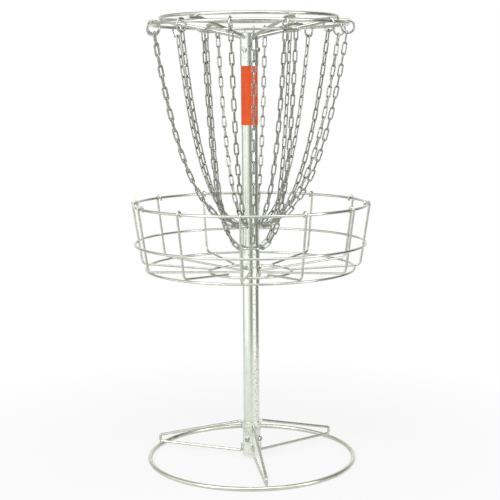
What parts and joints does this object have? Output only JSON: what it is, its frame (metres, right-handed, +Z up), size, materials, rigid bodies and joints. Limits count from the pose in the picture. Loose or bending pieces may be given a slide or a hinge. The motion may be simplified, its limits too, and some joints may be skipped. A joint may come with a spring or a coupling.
{
  "type": "disc golf basket",
  "caption": "Disc golf basket: a galvanised pole on a ring base, with an open wire tray and two sets of hanging chains that stop a disc and drop it into the tray.",
  "frame": {"origin": "centre of the base ring on the floor", "axes": "+Z up along the pole, -Y to the front of the picture, +X to its right"},
  "size_m": [0.7018, 0.7018, 1.3106],
  "materials": {
    "galvanised_tube": "hot-dip galvanised tube, matt to satin with a faint spangle",
    "galvanised_rod": "hot-dip galvanised rod, satin",
    "chain_steel": "zinc-plated welded chain, bright satin",
    "screw_steel": "zinc-plated screw, darkened",
    "colour_band": "plain orange-red wrap, satin"
  },
  "bodies": {
    "stand": {"pole": "galvanised_tube", "colour_band": "colour_band", "base_sleeve": "galvanised_tube", "tray_sleeve": "galvanised_tube", "top_sleeve": "galvanised_tube", "base_set_screws": "screw_steel", "tray_set_screws": "screw_steel", "top_set_screws": "screw_steel", "base_ring": "galvanised_rod", "base_leg_01": "galvanised_rod", "base_leg_02": "galvanised_rod", "base_leg_03": "galvanised_rod", "tray_rim": "galvanised_rod", "tray_middle_ring": "galvanised_rod", "tray_bottom_ring": "galvanised_rod", "tray_floor_ring": "galvanised_rod", "tray_rib_01": "galvanised_rod", "tray_rib_02": "galvanised_rod", "tray_rib_03": "galvanised_rod", "tray_rib_04": "galvanised_rod", "tray_rib_05": "galvanised_rod", "tray_rib_06": "galvanised_rod", "tray_rib_07": "galvanised_rod", "tray_rib_08": "galvanised_rod", "tray_rib_09": "galvanised_rod", "tray_rib_10": "galvanised_rod", "tray_rib_11": "galvanised_rod", "tray_rib_12": "galvanised_rod", "top_spoke_01": "galvanised_rod", "top_spoke_02": "galvanised_rod", "top_spoke_03": "galvanised_rod", "top_spoke_04": "galvanised_rod", "top_spoke_05": "galvanised_rod", "top_spoke_06": "galvanised_rod", "top_outer_ring": "galvanised_rod", "top_upper_ring": "galvanised_rod", "top_inner_ring": "galvanised_rod"},
    "outer_chain_01": {"outer_chain_01": "chain_steel"},
    "outer_chain_02": {"outer_chain_02": "chain_steel"},
    "outer_chain_03": {"outer_chain_03": "chain_steel"},
    "outer_chain_04": {"outer_chain_04": "chain_steel"},
    "outer_chain_05": {"outer_chain_05": "chain_steel"},
    "outer_chain_06": {"outer_chain_06": "chain_steel"},
    "outer_chain_07": {"outer_chain_07": "chain_steel"},
    "outer_chain_08": {"outer_chain_08": "chain_steel"},
    "outer_chain_09": {"outer_chain_09": "chain_steel"},
    "outer_chain_10": {"outer_chain_10": "chain_steel"},
    "outer_chain_11": {"outer_chain_11": "chain_steel"},
    "outer_chain_12": {"outer_chain_12": "chain_steel"},
    "inner_chain_01": {"inner_chain_01": "chain_steel"},
    "inner_chain_02": {"inner_chain_02": "chain_steel"},
    "inner_chain_03": {"inner_chain_03": "chain_steel"},
    "inner_chain_04": {"inner_chain_04": "chain_steel"},
    "inner_chain_05": {"inner_chain_05": "chain_steel"},
    "inner_chain_06": {"inner_chain_06": "chain_steel"},
    "upper_gather_ring": {"upper_gather_ring": "chain_steel"},
    "lower_gather_ring": {"lower_gather_ring": "chain_steel"}
  },
  "joints": [
    {"name": "outer_chain_01_slide", "type": "hinge", "parent": "stand", "child": "outer_chain_01", "pos_m": [0, 0, 1], "axis": [0, 0, 1], "range_deg": [-3, 3]},
    {"name": "outer_chain_02_slide", "type": "hinge", "parent": "stand", "child": "outer_chain_02", "pos_m": [0, 0, 1], "axis": [0, 0, 1], "range_deg": [-3, 3]},
    {"name": "outer_chain_03_slide", "type": "hinge", "parent": "stand", "child": "outer_chain_03", "pos_m": [0, 0, 1], "axis": [0, 0, 1], "range_deg": [-3, 3]},
    {"name": "outer_chain_04_slide", "type": "hinge", "parent": "stand", "child": "outer_chain_04", "pos_m": [0, 0, 1], "axis": [0, 0, 1], "range_deg": [-3, 3]},
    {"name": "outer_chain_05_slide", "type": "hinge", "parent": "stand", "child": "outer_chain_05", "pos_m": [0, 0, 1], "axis": [0, 0, 1], "range_deg": [-3, 3]},
    {"name": "outer_chain_06_slide", "type": "hinge", "parent": "stand", "child": "outer_chain_06", "pos_m": [0, 0, 1], "axis": [0, 0, 1], "range_deg": [-3, 3]},
    {"name": "outer_chain_07_slide", "type": "hinge", "parent": "stand", "child": "outer_chain_07", "pos_m": [0, 0, 1], "axis": [0, 0, 1], "range_deg": [-3, 3]},
    {"name": "outer_chain_08_slide", "type": "hinge", "parent": "stand", "child": "outer_chain_08", "pos_m": [0, 0, 1], "axis": [0, 0, 1], "range_deg": [-3, 3]},
    {"name": "outer_chain_09_slide", "type": "hinge", "parent": "stand", "child": "outer_chain_09", "pos_m": [0, 0, 1], "axis": [0, 0, 1], "range_deg": [-3, 3]},
    {"name": "outer_chain_10_slide", "type": "hinge", "parent": "stand", "child": "outer_chain_10", "pos_m": [0, 0, 1], "axis": [0, 0, 1], "range_deg": [-3, 3]},
    {"name": "outer_chain_11_slide", "type": "hinge", "parent": "stand", "child": "outer_chain_11", "pos_m": [0, 0, 1], "axis": [0, 0, 1], "range_deg": [-3, 3]},
    {"name": "outer_chain_12_slide", "type": "hinge", "parent": "stand", "child": "outer_chain_12", "pos_m": [0, 0, 1], "axis": [0, 0, 1], "range_deg": [-3, 3]},
    {"name": "inner_chain_01_slide", "type": "hinge", "parent": "stand", "child": "inner_chain_01", "pos_m": [0, 0, 1], "axis": [0, 0, 1], "range_deg": [-2, 2]},
    {"name": "inner_chain_02_slide", "type": "hinge", "parent": "stand", "child": "inner_chain_02", "pos_m": [0, 0, 1], "axis": [0, 0, 1], "range_deg": [-2, 2]},
    {"name": "inner_chain_03_slide", "type": "hinge", "parent": "stand", "child": "inner_chain_03", "pos_m": [0, 0, 1], "axis": [0, 0, 1], "range_deg": [-2, 2]},
    {"name": "inner_chain_04_slide", "type": "hinge", "parent": "stand", "child": "inner_chain_04", "pos_m": [0, 0, 1], "axis": [0, 0, 1], "range_deg": [-2, 2]},
    {"name": "inner_chain_05_slide", "type": "hinge", "parent": "stand", "child": "inner_chain_05", "pos_m": [0, 0, 1], "axis": [0, 0, 1], "range_deg": [-2, 2]},
    {"name": "inner_chain_06_slide", "type": "hinge", "parent": "stand", "child": "inner_chain_06", "pos_m": [0, 0, 1], "axis": [0, 0, 1], "range_deg": [-2, 2]},
    {"name": "upper_gather_ring_turn", "type": "hinge", "parent": "stand", "child": "upper_gather_ring", "pos_m": [0, 0, 0.7077], "axis": [0, 0, 1], "continuous": true},
    {"name": "lower_gather_ring_turn", "type": "hinge", "parent": "stand", "child": "lower_gather_ring", "pos_m": [0, 0, 0.6407], "axis": [0, 0, 1], "continuous": true}
  ]
}
